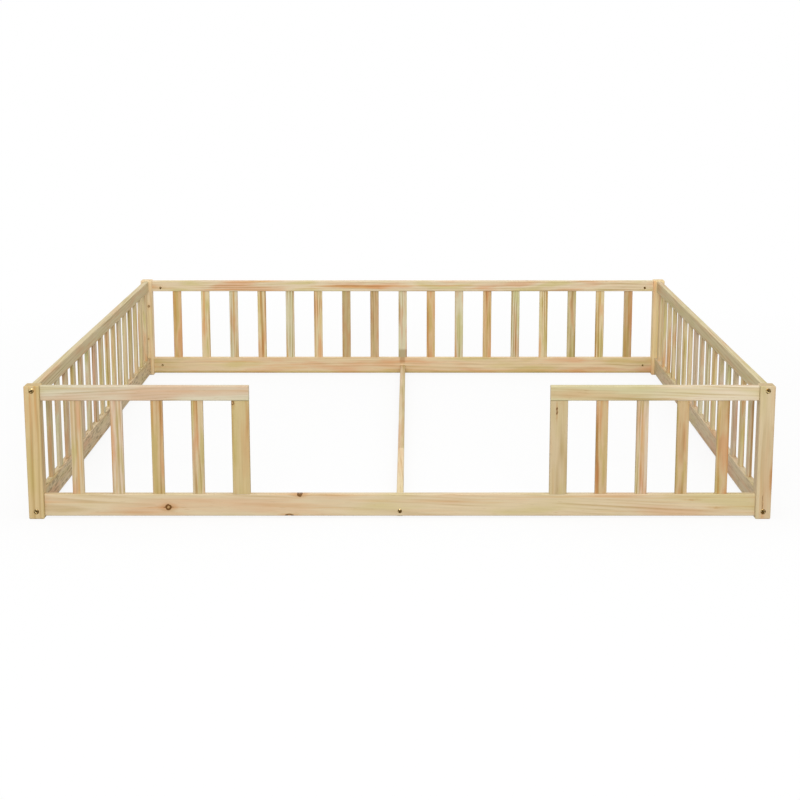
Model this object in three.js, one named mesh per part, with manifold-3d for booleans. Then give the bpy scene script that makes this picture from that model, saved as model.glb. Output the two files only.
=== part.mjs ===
// A low floor bed frame in natural pine with a fence round the mattress and an open entrance in
// front. Millimetres, +Z up. The origin is on the floor under the middle of the bed, the entrance
// faces -Y and the long back fence runs along X. Four square posts carry bolted rails, and slats
// with stub tenons stand in mortises between each top and bottom rail.

import * as THREE from 'three';
import * as BufferGeometryUtils from 'three/addons/utils/BufferGeometryUtils.js';
import Module from 'manifold-3d';

// Mattress and the room round it
const mattressWidth = 2032;
const mattressDepth = 1930;
const mattressRoom = 12;

// Posts
const postSide = 44;
const postHeight = 391;
const postCornerRadius = 3.5;
const postEndEase = 2;

// Rails
const railThickness = 20;
const railEdgeRadius = 3;
const topRailHeight = 43;
const topRailDrop = 2;
const bottomRailHeight = 65;
const bottomRailFloorGap = 6;

// Slats, and the stiles at the entrance
const slatWidth = 34;
const slatThickness = 12;
const slatEdgeRadius = 2;
const backSlatCount = 17;
const backEndGap = 83;
const sideSlatCount = 17;
const sideEndGap = 34;
const frontSlatCount = 4;
const tenonWidth = 22;
const tenonThickness = 7;
const tenonLength = 14;
const entranceWidth = 859;
const stileWidth = 50;
const stileTenonWidth = 34;

// Centre beam on the floor, from the front rail to the back rail
const beamWidth = 20;
const beamHeight = 40;

// Bolts with flat cross-recessed heads, and the cross-drilled barrel nuts that they screw into
const boltRadius = 3;
const boltHoleRadius = 3.5;
const boltHeadRadius = 7.5;
const beamBoltHeadRadius = 6;
const boltHeadThickness = 2.6;
const boltHeadSunk = 0.4;
const recessReach = 3.8;
const recessHalfWidth = 1.2;
const recessDepth = 1.9;
const nutRadius = 5;
const nutLength = 15;
const nutSunk = 1;
const nutFromRailEnd = 34;
const boltPastNutAxis = 3;

// Bolt and dowel heights above the lower edge of the rail that they enter. The bolts of the long
// rails and of the side rails cross inside a post, so they lie at different heights.
const longTopBolt = 14;
const longBottomBolt = 32;
const sideTopBolt = 31;
const sideBottomBolt = 16;
const bottomDowel = 50;
const dowelRadius = 4;
const dowelReach = 14;

// Clearances
const fit = 0.3;
const mortiseSpare = 1;
const overcut = 1;

// Facets
const edgeSteps = 2;
const slatEdgeSteps = 1;
const holeSides = 8;
const nutSides = 8;
const headSides = 12;

// Worked out from the values above
const insideWidth = mattressWidth + mattressRoom;
const insideDepth = mattressDepth + mattressRoom;
const bedWidth = insideWidth + 2 * postSide;
const bedDepth = insideDepth + 2 * postSide;
const longRailY = (bedDepth - postSide) / 2;
const sideRailX = (bedWidth - postSide) / 2;
const topRailZ = postHeight - topRailDrop - topRailHeight;
const bottomRailZ = bottomRailFloorGap;
const fenceFootZ = bottomRailZ + bottomRailHeight;
const slatLength = topRailZ - fenceFootZ - 2 * fit;
const mortiseDepth = tenonLength + fit + mortiseSpare;
const stileX = entranceWidth / 2 + stileWidth / 2;

const wasm = await Module();
wasm.setup();

// Closed solids for cutting and joining

function toSolid(geometry) {
  geometry.deleteAttribute('normal');
  geometry.deleteAttribute('uv');
  const merged = BufferGeometryUtils.mergeVertices(geometry, 1e-4);
  return new wasm.Manifold(new wasm.Mesh({
    numProp: 3,
    vertProperties: new Float32Array(merged.attributes.position.array),
    triVerts: new Uint32Array(merged.index.array),
  }));
}

function toGeometry(solid) {
  const mesh = solid.getMesh();
  const geometry = new THREE.BufferGeometry();
  geometry.setAttribute('position', new THREE.BufferAttribute(mesh.vertProperties, 3));
  geometry.setIndex(new THREE.BufferAttribute(mesh.triVerts, 1));
  geometry.computeVertexNormals();
  return geometry;
}

function block(sizeX, sizeY, sizeZ, x, y, z) {
  const geometry = new THREE.BoxGeometry(sizeX, sizeY, sizeZ);
  geometry.translate(x, y, z);
  return toSolid(geometry);
}

// A round bar or drill of the given radius between two points that lie on one axis
function rod(radius, from, to, sides = holeSides) {
  const start = new THREE.Vector3(...from);
  const end = new THREE.Vector3(...to);
  const length = start.distanceTo(end);
  const geometry = new THREE.CylinderGeometry(radius, radius, length, sides);
  const direction = end.clone().sub(start).normalize();
  const turn = new THREE.Quaternion().setFromUnitVectors(new THREE.Vector3(0, 1, 0), direction);
  geometry.applyQuaternion(turn);
  geometry.translate(...start.add(end).multiplyScalar(0.5).toArray());
  return toSolid(geometry);
}

function roundedRectangle(width, height, radius) {
  const x = width / 2 - radius;
  const y = height / 2 - radius;
  const shape = new THREE.Shape();
  shape.absarc(x, y, radius, 0, Math.PI / 2);
  shape.absarc(-x, y, radius, Math.PI / 2, Math.PI);
  shape.absarc(-x, -y, radius, Math.PI, Math.PI * 1.5);
  shape.absarc(x, -y, radius, Math.PI * 1.5, Math.PI * 2);
  shape.closePath();
  return shape;
}

// An upright bar with eased long edges, standing on z = 0
function upright(width, thickness, height, radius, steps) {
  const shape = roundedRectangle(width, thickness, radius);
  const geometry = new THREE.ExtrudeGeometry(shape, {
    depth: height,
    bevelEnabled: false,
    curveSegments: steps,
  });
  return toSolid(geometry);
}

// A board along X with eased long edges, centred on x = 0 and y = 0, its lower edge on z = 0
function board(length, height, thickness, radius) {
  const shape = roundedRectangle(thickness, height, radius);
  const geometry = new THREE.ExtrudeGeometry(shape, {
    depth: length,
    bevelEnabled: false,
    curveSegments: edgeSteps,
  });
  const lay = new THREE.Matrix4().makeBasis(
    new THREE.Vector3(0, 1, 0),
    new THREE.Vector3(0, 0, 1),
    new THREE.Vector3(1, 0, 0),
  );
  geometry.applyMatrix4(lay);
  geometry.translate(-length / 2, 0, height / 2);
  return toSolid(geometry);
}

// Posts: sideX and sideY are the signs of the corner, so the bolts enter from the outer faces

function post(sideX, sideY) {
  const shape = roundedRectangle(postSide, postSide, postCornerRadius);
  const geometry = new THREE.ExtrudeGeometry(shape, {
    depth: postHeight - 2 * postEndEase,
    bevelEnabled: true,
    bevelThickness: postEndEase,
    bevelSize: postEndEase,
    bevelOffset: -postEndEase,
    bevelSegments: 1,
    curveSegments: edgeSteps,
  });
  geometry.translate(0, 0, postEndEase);
  let solid = toSolid(geometry);
  const half = postSide / 2;
  const seat = half - boltHeadSunk - boltHeadThickness - fit;
  const dowelEnd = half - dowelReach - fit;
  const cutAlong = (axis, side, boltHeights, dowelHeights) => {
    const at = (distance, z) => (axis === 'x' ? [side * distance, 0, z] : [0, side * distance, z]);
    for (const z of boltHeights) {
      solid = solid.subtract(rod(boltHoleRadius, at(half + overcut, z), at(-half - overcut, z)));
      solid = solid.subtract(rod(boltHeadRadius + fit, at(half + overcut, z), at(seat, z), headSides));
    }
    for (const z of dowelHeights) {
      solid = solid.subtract(rod(dowelRadius + fit, at(-half - overcut, z), at(-dowelEnd, z)));
    }
  };
  cutAlong('x', sideX, longBoltHeights(), longDowelHeights());
  cutAlong('y', sideY, sideBoltHeights(), sideDowelHeights());
  return solid;
}

function longBoltHeights() {
  return [topRailZ + longTopBolt, bottomRailZ + longBottomBolt];
}

function sideBoltHeights() {
  return [topRailZ + sideTopBolt, bottomRailZ + sideBottomBolt];
}

// The dowel of a top rail takes the height that the other rail's bolt has
function longDowelHeights() {
  return [topRailZ + sideTopBolt, bottomRailZ + bottomDowel];
}

function sideDowelHeights() {
  return [topRailZ + longTopBolt, bottomRailZ + bottomDowel];
}

// Rails: mortises are cut into the edge that faces the slats. At each bolted end the rail has a
// bolt hole along its length, a blind cross hole for the barrel nut and a glued dowel.

function cutMortises(solid, edgeZ, inward, places) {
  const depth = mortiseDepth + overcut;
  const z = edgeZ + inward * (mortiseDepth - overcut) / 2;
  for (const { x, width } of places) {
    const cutter = block(width + 2 * fit, tenonThickness + 2 * fit, depth, x, 0, z);
    solid = solid.subtract(cutter);
  }
  return solid;
}

function fitBoltedEnd(solid, endX, nutSide, boltZ, dowelZ) {
  const out = Math.sign(endX);
  const nutX = endX - out * nutFromRailEnd;
  const holeEnd = nutX - out * (boltPastNutAxis + overcut);
  const innerFace = nutSide * railThickness / 2;
  const nutHoleEnd = innerFace - nutSide * (nutSunk + nutLength + fit);
  const boltHole = rod(boltHoleRadius, [endX + out * overcut, 0, boltZ], [holeEnd, 0, boltZ]);
  const nutMouth = innerFace + nutSide * overcut;
  const nutHole = rod(nutRadius + fit, [nutX, nutMouth, boltZ], [nutX, nutHoleEnd, boltZ], nutSides);
  const dowelTip = endX + out * (fit + dowelReach);
  const dowel = rod(dowelRadius, [endX - out * overcut, 0, dowelZ], [dowelTip, 0, dowelZ]);
  return solid.subtract(boltHole).subtract(nutHole).add(dowel);
}

// Middles of evenly spaced slats between two faces, with the given gap beside each face
function slatMiddles(from, to, count, endGap) {
  const first = from + endGap + slatWidth / 2;
  const last = to - endGap - slatWidth / 2;
  return Array.from({ length: count }, (_, i) => first + (last - first) * i / (count - 1));
}

// The front slats stand between a stile and a post with the same gap everywhere
const frontRoom = insideWidth / 2 - entranceWidth / 2 - stileWidth;
const frontGap = (frontRoom - frontSlatCount * slatWidth) / (frontSlatCount + 1);
const frontSlats = slatMiddles(insideWidth / 2 - frontRoom, insideWidth / 2, frontSlatCount, frontGap);
const backSlats = slatMiddles(-insideWidth / 2, insideWidth / 2, backSlatCount, backEndGap);
const sideSlats = slatMiddles(-insideDepth / 2, insideDepth / 2, sideSlatCount, sideEndGap);

const slatMortise = (x) => ({ x, width: tenonWidth });

function slat() {
  const body = upright(slatWidth, slatThickness, slatLength, slatEdgeRadius, slatEdgeSteps);
  return addTenons(body, tenonWidth);
}

function stile() {
  const body = upright(stileWidth, railThickness, slatLength, railEdgeRadius, edgeSteps);
  return addTenons(body, stileTenonWidth);
}

function addTenons(solid, width) {
  const height = slatLength + 2 * tenonLength;
  return solid.add(block(width, tenonThickness, height, 0, 0, slatLength / 2));
}

// A rail over the whole run between two posts, bolted at both ends
function fullRail({ insideLength, height, slats, slatsAbove, nutSide, boltZ, dowelZ }) {
  const length = insideLength - 2 * fit;
  let solid = board(length, height, railThickness, railEdgeRadius);
  solid = cutMortises(solid, slatsAbove ? height : 0, slatsAbove ? -1 : 1, slats);
  for (const end of [-1, 1]) {
    solid = fitBoltedEnd(solid, end * length / 2, nutSide, boltZ, dowelZ);
  }
  return solid;
}

// The side bottom rail carries its glued slats, whose upper tenons stay free for the top rail
function slattedRail(nutSide) {
  let solid = fullRail({
    insideLength: insideDepth,
    height: bottomRailHeight,
    slats: [],
    slatsAbove: true,
    nutSide,
    boltZ: sideBottomBolt,
    dowelZ: bottomDowel,
  });
  const rise = slatLength + 2 * fit;
  const bar = upright(slatWidth, slatThickness, rise, slatEdgeRadius, slatEdgeSteps);
  const tenon = block(tenonWidth, tenonThickness, 2 * tenonLength, 0, 0, rise);
  const tenonedBar = bar.add(tenon);
  for (const x of sideSlats) {
    solid = solid.add(tenonedBar.translate([x, 0, bottomRailHeight - fit]));
  }
  return solid;
}

// The short top rail beside the entrance: bolted to its post, with its free end over the stile
function frontTopRail(side) {
  const length = insideWidth / 2 - entranceWidth / 2 - fit;
  const middle = side * (entranceWidth / 2 + length / 2);
  const places = frontSlats.map((x) => slatMortise(side * x - middle));
  places.push({ x: side * stileX - middle, width: stileTenonWidth });
  let solid = board(length, topRailHeight, railThickness, railEdgeRadius);
  solid = cutMortises(solid, 0, 1, places);
  solid = fitBoltedEnd(solid, side * length / 2, 1, longTopBolt, sideTopBolt);
  return { solid, middle };
}

function frontBottomRail() {
  const both = [-1, 1];
  const slats = both.flatMap((side) => frontSlats.map((x) => slatMortise(side * x)));
  const stiles = both.map((side) => ({ x: side * stileX, width: stileTenonWidth }));
  const solid = fullRail({
    insideLength: insideWidth,
    height: bottomRailHeight,
    slats: [...slats, ...stiles],
    slatsAbove: true,
    nutSide: 1,
    boltZ: longBottomBolt,
    dowelZ: bottomDowel,
  });
  return drillForBeam(solid, -1);
}

// The hole for a beam bolt, with a seat for its head in the rail's outer face
function drillForBeam(solid, outSide) {
  const z = beamHeight / 2 - bottomRailZ;
  const half = railThickness / 2;
  const seat = half - boltHeadSunk - boltHeadThickness - fit;
  const hole = rod(boltHoleRadius, [0, half + overcut, z], [0, -half - overcut, z]);
  const head = rod(
    beamBoltHeadRadius + fit,
    [0, outSide * (half + overcut), z],
    [0, outSide * seat, z],
    headSides,
  );
  return solid.subtract(hole).subtract(head);
}

function backTopRail() {
  return fullRail({
    insideLength: insideWidth,
    height: topRailHeight,
    slats: backSlats.map(slatMortise),
    slatsAbove: false,
    nutSide: -1,
    boltZ: longTopBolt,
    dowelZ: sideTopBolt,
  });
}

function backBottomRail() {
  const solid = fullRail({
    insideLength: insideWidth,
    height: bottomRailHeight,
    slats: backSlats.map(slatMortise),
    slatsAbove: true,
    nutSide: -1,
    boltZ: longBottomBolt,
    dowelZ: bottomDowel,
  });
  return drillForBeam(solid, 1);
}

function sideTopRail(nutSide) {
  return fullRail({
    insideLength: insideDepth,
    height: topRailHeight,
    slats: sideSlats.map(slatMortise),
    slatsAbove: false,
    nutSide,
    boltZ: sideTopBolt,
    dowelZ: longTopBolt,
  });
}

// The beam lies along X here and is turned into place. Its barrel nuts sit in its left side.
function centreBeam() {
  const length = bedDepth - postSide - railThickness - 2 * fit;
  let solid = board(length, beamHeight, beamWidth, railEdgeRadius);
  for (const end of [-1, 1]) {
    const endX = end * length / 2;
    const nutX = endX - end * nutFromRailEnd;
    const holeEnd = nutX - end * (boltPastNutAxis + overcut);
    const z = beamHeight / 2;
    const face = beamWidth / 2;
    const nutHoleEnd = face - nutSunk - nutLength - fit;
    solid = solid.subtract(rod(boltHoleRadius, [endX + end * overcut, 0, z], [holeEnd, 0, z]));
    const nutMouth = face + overcut;
    solid = solid.subtract(rod(nutRadius + fit, [nutX, nutMouth, z], [nutX, nutHoleEnd, z], nutSides));
  }
  return solid;
}

// Cutter for a cross recess whose four wings taper to a point inside the head, along +X
function crossRecess(faceX) {
  const turns = [0, Math.PI / 2];
  const wings = turns.map((turn) => {
    const geometry = new THREE.ConeGeometry(2 * recessReach, 2 * recessDepth, 4);
    geometry.scale(1, 1, recessHalfWidth / recessReach);
    geometry.rotateZ(-Math.PI / 2);
    geometry.rotateX(turn);
    geometry.translate(faceX, 0, 0);
    return toSolid(geometry);
  });
  return wings[0].add(wings[1]);
}

// Bolt with its nut: the axis runs along +X from the face that the head is sunk in, through a
// member of the given thickness. nutSide says on which side the end of the nut shows.
function boltAndNut(through, nutSide, memberThickness, headRadius) {
  const headTop = boltHeadSunk;
  const headSeat = headTop + boltHeadThickness;
  const nutX = through + fit + nutFromRailEnd;
  const tip = nutX + boltPastNutAxis;
  const chamfer = boltHeadThickness / 3;
  const profile = [
    new THREE.Vector2(0, 0),
    new THREE.Vector2(headRadius - chamfer, 0),
    new THREE.Vector2(headRadius, chamfer),
    new THREE.Vector2(headRadius, boltHeadThickness),
    new THREE.Vector2(0, boltHeadThickness),
  ];
  const headGeometry = new THREE.LatheGeometry(profile, headSides);
  headGeometry.applyMatrix4(new THREE.Matrix4().makeBasis(
    new THREE.Vector3(0, 0, 1),
    new THREE.Vector3(1, 0, 0),
    new THREE.Vector3(0, 1, 0),
  ));
  headGeometry.translate(headTop, 0, 0);
  const head = toSolid(headGeometry);
  const shank = rod(boltRadius, [headSeat - boltHeadThickness / 2, 0, 0], [tip, 0, 0]);
  const nutFace = nutSide * (memberThickness / 2 - nutSunk);
  const nut = rod(nutRadius, [nutX, nutFace, 0], [nutX, nutFace - nutSide * nutLength, 0], nutSides);
  return head.subtract(crossRecess(headTop)).add(shank).add(nut);
}

// Finishes, by eye from bare sanded pine and browned brass

const pinePost = new THREE.MeshStandardMaterial({ color: 0xd8be92, roughness: 0.62, metalness: 0 });
const pineRail = new THREE.MeshStandardMaterial({ color: 0xdcc59c, roughness: 0.6, metalness: 0 });
const pineSlat = new THREE.MeshStandardMaterial({ color: 0xcfb27e, roughness: 0.62, metalness: 0 });
const pineBeam = new THREE.MeshStandardMaterial({ color: 0xd9bd93, roughness: 0.65, metalness: 0 });
const brownedBrass = new THREE.MeshStandardMaterial({ color: 0x7a5f2c, roughness: 0.35, metalness: 1 });

const bed = new THREE.Group();

function addPiece(parent, name, solid, material, position, turn = 0) {
  const mesh = new THREE.Mesh(toGeometry(solid), material);
  mesh.name = name;
  mesh.position.set(...position);
  mesh.rotation.z = turn;
  parent.add(mesh);
}

const quarterTurn = Math.PI / 2;
const leftRight = [['left', -1], ['right', 1]];
const frontBack = [['front', -1], ['back', 1]];

// Posts at the four corners
for (const [depthName, sideY] of frontBack) {
  for (const [widthName, sideX] of leftRight) {
    const place = [sideX * sideRailX, sideY * longRailY, 0];
    addPiece(bed, `post_${depthName}_${widthName}`, post(sideX, sideY), pinePost, place);
  }
}

// Front fence, in two parts beside the entrance
const front = new THREE.Group();
front.position.set(0, -longRailY, 0);
bed.add(front);
addPiece(front, 'front_bottom_rail', frontBottomRail(), pineRail, [0, 0, bottomRailZ]);
for (const [name, side] of leftRight) {
  const rail = frontTopRail(side);
  addPiece(front, `front_${name}_top_rail`, rail.solid, pineRail, [rail.middle, 0, topRailZ]);
  addPiece(front, `front_${name}_stile`, stile(), pineRail, [side * stileX, 0, fenceFootZ + fit]);
  frontSlats.forEach((x, i) => {
    addPiece(front, `front_${name}_slat_${i + 1}`, slat(), pineSlat, [side * x, 0, fenceFootZ + fit]);
  });
}

// Back fence
const back = new THREE.Group();
back.position.set(0, longRailY, 0);
bed.add(back);
addPiece(back, 'back_top_rail', backTopRail(), pineRail, [0, 0, topRailZ]);
addPiece(back, 'back_bottom_rail', backBottomRail(), pineRail, [0, 0, bottomRailZ]);
backSlats.forEach((x, i) => {
  const number = String(i + 1).padStart(2, '0');
  addPiece(back, `back_slat_${number}`, slat(), pineSlat, [x, 0, fenceFootZ + fit]);
});

// Side fences. A quarter turn lays the rails along Y, so their inner face is at local y = side.
for (const [name, side] of leftRight) {
  const fence = new THREE.Group();
  fence.position.set(side * sideRailX, 0, 0);
  fence.rotation.z = quarterTurn;
  bed.add(fence);
  addPiece(fence, `${name}_top_rail`, sideTopRail(side), pineRail, [0, 0, topRailZ]);
  addPiece(fence, `${name}_slatted_bottom_rail`, slattedRail(side), pineSlat, [0, 0, bottomRailZ]);
}

// Centre beam
addPiece(bed, 'centre_beam', centreBeam(), pineBeam, [0, 0, 0], quarterTurn);

// Corner bolts through the posts
const levels = ['top', 'bottom'];
for (const [depthName, sideY] of frontBack) {
  for (const [widthName, sideX] of leftRight) {
    const corner = `${depthName}_${widthName}`;
    longBoltHeights().forEach((z, i) => {
      const bolt = boltAndNut(postSide, sideX * sideY, railThickness, boltHeadRadius);
      const place = [sideX * bedWidth / 2, sideY * longRailY, z];
      const turn = sideX > 0 ? Math.PI : 0;
      addPiece(bed, `${corner}_${levels[i]}_long_bolt`, bolt, brownedBrass, place, turn);
    });
    sideBoltHeights().forEach((z, i) => {
      const bolt = boltAndNut(postSide, -sideX * sideY, railThickness, boltHeadRadius);
      const place = [sideX * sideRailX, sideY * bedDepth / 2, z];
      const turn = -sideY * quarterTurn;
      addPiece(bed, `${corner}_${levels[i]}_side_bolt`, bolt, brownedBrass, place, turn);
    });
  }
}

// Bolts that hold the beam to the front and back rails
for (const [name, side] of frontBack) {
  const bolt = boltAndNut(railThickness, -side, beamWidth, beamBoltHeadRadius);
  const place = [0, side * (longRailY + railThickness / 2), beamHeight / 2];
  addPiece(bed, `${name}_beam_bolt`, bolt, brownedBrass, place, -side * quarterTurn);
}

export default bed;
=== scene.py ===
# A low floor bed frame in natural pine: a slatted fence round the mattress space, an open
# entrance in front and a beam on the floor in the middle. Metres, +Z up, the entrance faces -Y.
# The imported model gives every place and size. This script gives the boards their pine, makes
# the slats, the bolts and the side rails anew in finer shape, and adds light and camera.

import math

import bmesh
import bpy
from mathutils import Matrix, Vector


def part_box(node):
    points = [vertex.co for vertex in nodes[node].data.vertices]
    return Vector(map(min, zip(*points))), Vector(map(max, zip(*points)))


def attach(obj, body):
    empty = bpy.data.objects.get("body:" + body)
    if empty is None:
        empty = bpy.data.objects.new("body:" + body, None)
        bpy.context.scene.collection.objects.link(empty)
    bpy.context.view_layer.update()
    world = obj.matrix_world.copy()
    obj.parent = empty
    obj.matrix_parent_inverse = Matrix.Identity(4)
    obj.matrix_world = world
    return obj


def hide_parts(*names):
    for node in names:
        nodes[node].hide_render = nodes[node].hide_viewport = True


MM = 0.001

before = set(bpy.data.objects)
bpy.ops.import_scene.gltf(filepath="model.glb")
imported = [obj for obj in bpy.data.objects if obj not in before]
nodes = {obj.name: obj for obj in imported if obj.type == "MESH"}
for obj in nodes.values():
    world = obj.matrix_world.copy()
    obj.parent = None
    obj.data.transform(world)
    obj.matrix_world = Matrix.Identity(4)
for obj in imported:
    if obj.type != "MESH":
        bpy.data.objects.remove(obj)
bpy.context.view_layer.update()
BODY = "root"


def paint(code):
    """The linear colour of an sRGB hex code such as #D8BE92."""
    parts = [int(code[i:i + 2], 16) / 255 for i in (1, 3, 5)]
    linear = [c / 12.92 if c <= 0.04045 else ((c + 0.055) / 1.055) ** 2.4 for c in parts]
    return (*linear, 1.0)


def add(tree, kind, inputs=None, **settings):
    """Adds a node. An input is a value, a socket, a node for its first output, or a list."""
    node = tree.nodes.new(kind)
    for name, value in settings.items():
        setattr(node, name, value)
    for key, given in (inputs or {}).items():
        for value in given if isinstance(given, list) else [given]:
            if isinstance(value, bpy.types.Node):
                value = value.outputs[0]
            if isinstance(value, bpy.types.NodeSocket):
                tree.links.new(value, node.inputs[key])
            else:
                node.inputs[key].default_value = value
    return node


def new_material(name):
    """A material without nodes, and its tree."""
    material = bpy.data.materials.new(name)
    material.use_nodes = True
    material.node_tree.nodes.clear()
    return material, material.node_tree


# In a colour mix, input 0 is the share, 6 and 7 are the two colours and output 2 is the result
MIX = "ShaderNodeMix"
MATH = "ShaderNodeMath"
VECTOR = "ShaderNodeVectorMath"
NOISE = "ShaderNodeTexNoise"
RANGE = "ShaderNodeMapRange"

# Most of a noise texture's values lie between these
NOISE_LOW = 0.3
NOISE_HIGH = 0.7


# Plain-sawn plantation pine, planed and sanded. The eye gets pale earlywood, soft darker
# latewood lines 7 to 9 mm apart that run along the board in long curves and arches and fade in
# and out, broad bands of pink, green and orange, and fine fibre lines with short resin dashes.
# Fibres and dashes of 0.1 mm are too fine for the picture, so they are drawn 20 to 30 times as
# coarse.

# Sizes of the patterns along the grain, across the face and through the board
PATTERN_SIZES = {
    "Wander": (435 * MM, 111 * MM, 111 * MM),
    "Fade": (294 * MM, 38.5 * MM, 38.5 * MM),
    "Fibre": (125 * MM, 3.3 * MM, 3.3 * MM),
    "Drift": (333 * MM, 52.6 * MM, 52.6 * MM),
    "Streak": (385 * MM, 11.8 * MM, 16.7 * MM),
    "Dash": (36 * MM, 1.8 * MM, 1.8 * MM),
    "Fleck": (42 * MM, 6.7 * MM, 6.7 * MM),
}


def scale_for(size):
    """How often a pattern of this size fits in a metre, to two figures."""
    return float(f"{1 / size:.2g}")


SCALES = {label: tuple(map(scale_for, sizes)) for label, sizes in PATTERN_SIZES.items()}

# How far apart in the log two pieces lie whose seeds differ by one
SEED_STEP = (3.17, 1.13, 2.31)
# The rings stray by up to half of this to either side, and grow by 12 mm in a metre of board
RING_WANDER = (0, 16 * MM, 16 * MM)
RING_TAPER = 0.012
# Wide and narrow rings take turns about every two rings
GROWTH_SCALE = 0.45
UNEVEN_RINGS = 0.9
# Shares of a ring where the latewood begins and where it is darkest
LATEWOOD_FROM = 0.28
LATEWOOD_PEAK = 0.80
FAINTEST_YEAR = 0.15
# Noise values between which the latewood comes back from almost nothing
FADED_AT = 0.41
CLEAR_AT = 0.61
FADED = 0.05


def ring_number(tree, given, seeded):
    """How many rings a point lies from the pith."""
    wander_place = add(tree, VECTOR, {0: seeded, 1: SCALES["Wander"]}, operation="MULTIPLY")
    wander = add(tree, NOISE, {"Vector": wander_place, "Scale": 1.0, "Detail": 2.0})
    half = tuple(-reach / 2 for reach in RING_WANDER)
    shift = add(tree, VECTOR, {0: wander.outputs["Color"], 1: RING_WANDER, 2: half},
                operation="MULTIPLY_ADD")
    bent = add(tree, VECTOR, {0: given["Place"], 1: shift}, operation="ADD")
    from_pith = add(tree, VECTOR, {0: bent, 1: given["Pith"]}, operation="SUBTRACT")
    axes = add(tree, "ShaderNodeSeparateXYZ", {0: from_pith}).outputs
    across = add(tree, MATH, {0: axes["X"], 1: given["Slope"], 2: axes["Y"]},
                 operation="MULTIPLY_ADD")
    flat = add(tree, "ShaderNodeCombineXYZ", {"X": across, "Y": axes["Z"]})
    radius = add(tree, VECTOR, {0: flat}, operation="LENGTH").outputs["Value"]
    tapered = add(tree, MATH, {0: axes["X"], 1: RING_TAPER, 2: radius}, operation="MULTIPLY_ADD")
    pushed = add(tree, MATH, {0: tapered, 1: given["Push"]}, operation="ADD")
    turns = add(tree, MATH, {0: pushed, 1: given["Ring spacing"]}, operation="DIVIDE")
    seeded_turns = add(tree, MATH, {0: turns, 1: given["Seed"]}, operation="ADD")
    growth = add(tree, NOISE, {"W": seeded_turns, "Scale": GROWTH_SCALE, "Detail": 1.0},
                 noise_dimensions="1D")
    return add(tree, MATH, {0: growth, 1: UNEVEN_RINGS, 2: seeded_turns},
               operation="MULTIPLY_ADD")


def latewood_lines(tree, ring, seeded):
    """Earlywood darkens slowly into latewood, which ends at the next spring's pale wood."""
    share = add(tree, MATH, {0: ring}, operation="FRACT")
    rise = add(tree, RANGE,
               {"Value": share, "From Min": LATEWOOD_FROM, "From Max": LATEWOOD_PEAK},
               interpolation_type="SMOOTHSTEP")
    fall = add(tree, RANGE, {"Value": share, "From Min": 1.0, "From Max": LATEWOOD_PEAK},
               interpolation_type="SMOOTHSTEP")
    line = add(tree, MATH, {0: rise, 1: fall}, operation="MULTIPLY")
    year = add(tree, MATH, {0: ring}, operation="FLOOR")
    vigour = add(tree, "ShaderNodeTexWhiteNoise", {"W": year}, noise_dimensions="1D")
    strength = add(tree, RANGE, {"Value": vigour, "To Min": FAINTEST_YEAR, "To Max": 1.0})
    strong = add(tree, MATH, {0: line, 1: strength}, operation="MULTIPLY")
    fade_place = add(tree, VECTOR, {0: seeded, 1: SCALES["Fade"]}, operation="MULTIPLY")
    fade_noise = add(tree, NOISE, {"Vector": fade_place, "Scale": 1.0, "Detail": 2.0})
    fade = add(tree, RANGE, {"Value": fade_noise, "From Min": FADED_AT, "From Max": CLEAR_AT,
                             "To Min": FADED})
    return add(tree, MATH, {0: strong, 1: fade}, operation="MULTIPLY")


def grain_group():
    """Place is a point in the board's own frame: along the grain, across the face, and depth."""
    tree = bpy.data.node_groups.new("pine grain", "ShaderNodeTree")
    sockets = tree.interface
    for label in ("Place", "Pith"):
        sockets.new_socket(label, in_out="INPUT", socket_type="NodeSocketVector")
    for label in ("Seed", "Ring spacing", "Slope", "Push", "Patches"):
        sockets.new_socket(label, in_out="INPUT", socket_type="NodeSocketFloat")
    for label in ("Latewood", "Fibre", "Drift", "Streak", "Dash"):
        sockets.new_socket(label, in_out="OUTPUT", socket_type="NodeSocketFloat")
    given = add(tree, "NodeGroupInput").outputs

    seeded = add(tree, VECTOR, {0: given["Seed"], 1: SEED_STEP, 2: given["Place"]},
                 operation="MULTIPLY_ADD")
    ring = ring_number(tree, given, seeded)
    outputs = {"Latewood": latewood_lines(tree, ring, seeded)}
    for label in ("Fibre", "Drift", "Streak", "Dash"):
        place = add(tree, VECTOR, {0: seeded, 1: SCALES[label]}, operation="MULTIPLY")
        fineness = given["Patches"] if label == "Drift" else 1.0
        outputs[label] = add(tree, NOISE, {"Vector": place, "Scale": fineness, "Detail": 3.0})
    add(tree, "NodeGroupOutput", outputs)
    return tree


GRAIN = grain_group()

# Attributes that the slats carry from their node tree to the pine
PLACE = "grain_place"
SEED = "grain_seed"
PITH = "grain_pith"
TONE = "wood_tone"
GREY_FOOT = "grey_foot"

# What latewood, resin, drift and knots do to a board's pale tone
LATEWOOD = "#D6C5A2"
ORANGE_STREAK = "#F3CFA0"
GREEN_DRIFT = "#F0F3D6"
PINK_DRIFT = "#FCE4DA"
RESIN_DASH = "#CDB18A"
RESIN_STRENGTH = 0.6
FIBRE_DARK = 0.965
FIBRE_LIGHT = 1.055
END_GRAIN = "#F0ECDF"
END_LATEWOOD = "#C9A574"
# How squarely a face has to look along the grain to be a sawn end, from hardly to wholly
END_FROM = 0.75
END_FULL = 0.9

# A sanded board is satin, with fibres that are a little duller than the wood between them
FIBRE_ROUGHNESS = 0.66
SMOOTH_ROUGHNESS = 0.54
LATEWOOD_RELIEF = 0.4
RELIEF_STRENGTH = 0.3
RELIEF = 0.3 * MM
WOOD_IOR = 1.5
WOOD_SPECULAR = 0.25

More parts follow.
